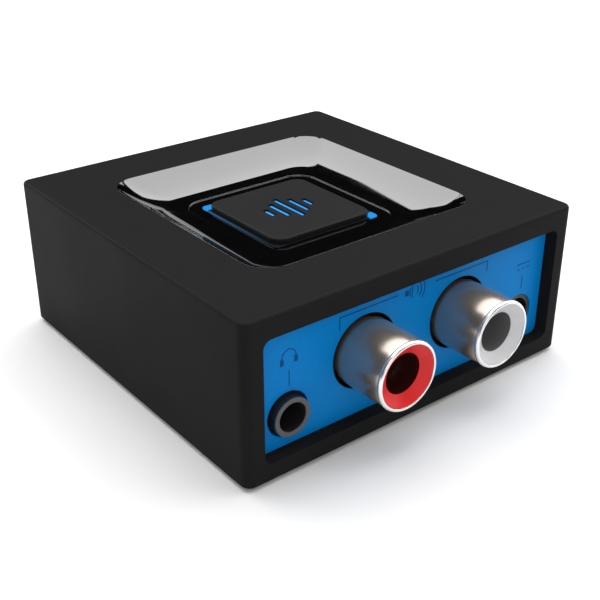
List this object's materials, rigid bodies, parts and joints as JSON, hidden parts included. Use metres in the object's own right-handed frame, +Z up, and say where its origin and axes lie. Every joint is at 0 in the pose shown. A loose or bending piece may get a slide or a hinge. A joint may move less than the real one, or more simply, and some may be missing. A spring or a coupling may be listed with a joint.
{
  "type": "bluetooth audio receiver",
  "caption": "Square black wireless audio receiver box with a sunken glossy dish and a lit push button on top, and a recessed blue socket panel with phono, headphone-size and power sockets.",
  "frame": {"origin": "centre of the box in plan, on the foot pad's underside", "axes": "+Z up through the button, -Y out of the sockets, +X to the right seen from the sockets"},
  "size_m": [0.0508, 0.0563, 0.0208],
  "materials": {
    "housing_plastic": "fine satin black",
    "cover_plastic": "matte black",
    "foot_rubber": "soft matte black",
    "zinc_steel": "zinc-plated steel",
    "bezel_gloss": "polished black",
    "cap_plastic": "satin black",
    "guide_blue": "translucent blue, lit",
    "diffuser_blue": "translucent blue, lit",
    "panel_blue": "satin blue",
    "jack_black": "matte black",
    "nickel": "bright nickel plate",
    "insulator_red": "glossy red",
    "insulator_white": "glossy white",
    "tin_brass": "tinned brass",
    "board_green": "solder mask over fibre board",
    "board_black": "dark solder mask",
    "gold_pin": "gold flash",
    "switch_black": "moulded black",
    "spring_steel": "spring steel",
    "led_package": "pale resin",
    "shield_tin": "tinned sheet",
    "chip_epoxy": "matte epoxy",
    "antenna_ceramic": "white ceramic",
    "can_aluminium": "bright can",
    "capacitor_ceramic": "tan ceramic",
    "resistor_black": "glazed black",
    "ferrite": "ground ferrite"
  },
  "bodies": {
    "base": {"housing": "housing_plastic", "bottom_cover": "cover_plastic", "foot_pad": "foot_rubber", "cover_screws": "zinc_steel", "top_bezel": "bezel_gloss", "light_guide": "guide_blue", "connector_panel": "panel_blue", "phono_block": "jack_black", "phono_insulator_red": "insulator_red", "phono_insulator_white": "insulator_white", "aux_jack_body": "jack_black", "power_jack_body": "jack_black", "power_jack_pin": "nickel", "power_jack_spring": "spring_steel", "main_board": "board_green", "main_board_screws": "zinc_steel", "button_board": "board_green", "button_board_screws": "zinc_steel", "header_block": "switch_black", "header_pins": "gold_pin", "switch_base": "switch_black", "switch_cover": "shield_tin", "switch_dome": "spring_steel", "switch_legs": "tin_brass", "button_leds": "led_package", "radio_board": "board_black", "radio_shield": "shield_tin", "radio_chip": "chip_epoxy", "radio_antenna": "antenna_ceramic", "converter_chip": "chip_epoxy", "converter_leads": "tin_brass", "amplifier_chip": "chip_epoxy", "amplifier_leads": "tin_brass", "memory_chip": "chip_epoxy", "memory_leads": "tin_brass", "voltage_regulator": "chip_epoxy", "regulator_leads": "tin_brass", "power_inductor": "ferrite", "crystal": "shield_tin", "electrolytic_cans": "can_aluminium", "electrolytic_bases": "switch_black", "ceramic_capacitors": "capacitor_ceramic", "resistors": "resistor_black", "phono_barrel_left": "nickel", "phono_barrel_right": "nickel", "phono_contact_left": "tin_brass", "phono_contact_right": "tin_brass", "aux_sleeve_contact": "spring_steel", "aux_ring_contact": "spring_steel", "aux_tip_contact": "spring_steel"},
    "button": {"button_cap": "cap_plastic", "button_diffuser": "diffuser_blue"},
    "switch": {"switch_plunger": "switch_black"}
  },
  "joints": [
    {"name": "button_press", "type": "slide", "parent": "base", "child": "button", "axis": [0, 0, -1], "range_m": [0, 0.0003], "stiffness_N_per_m": 900},
    {"name": "switch_press", "type": "slide", "parent": "base", "child": "switch", "axis": [0, 0, -1], "range_m": [0, 0.0003], "deforming": ["switch_dome"]}
  ],
  "couplings": [
    {"joint": "switch_press", "follows": "button_press", "ratio": 1}
  ]
}
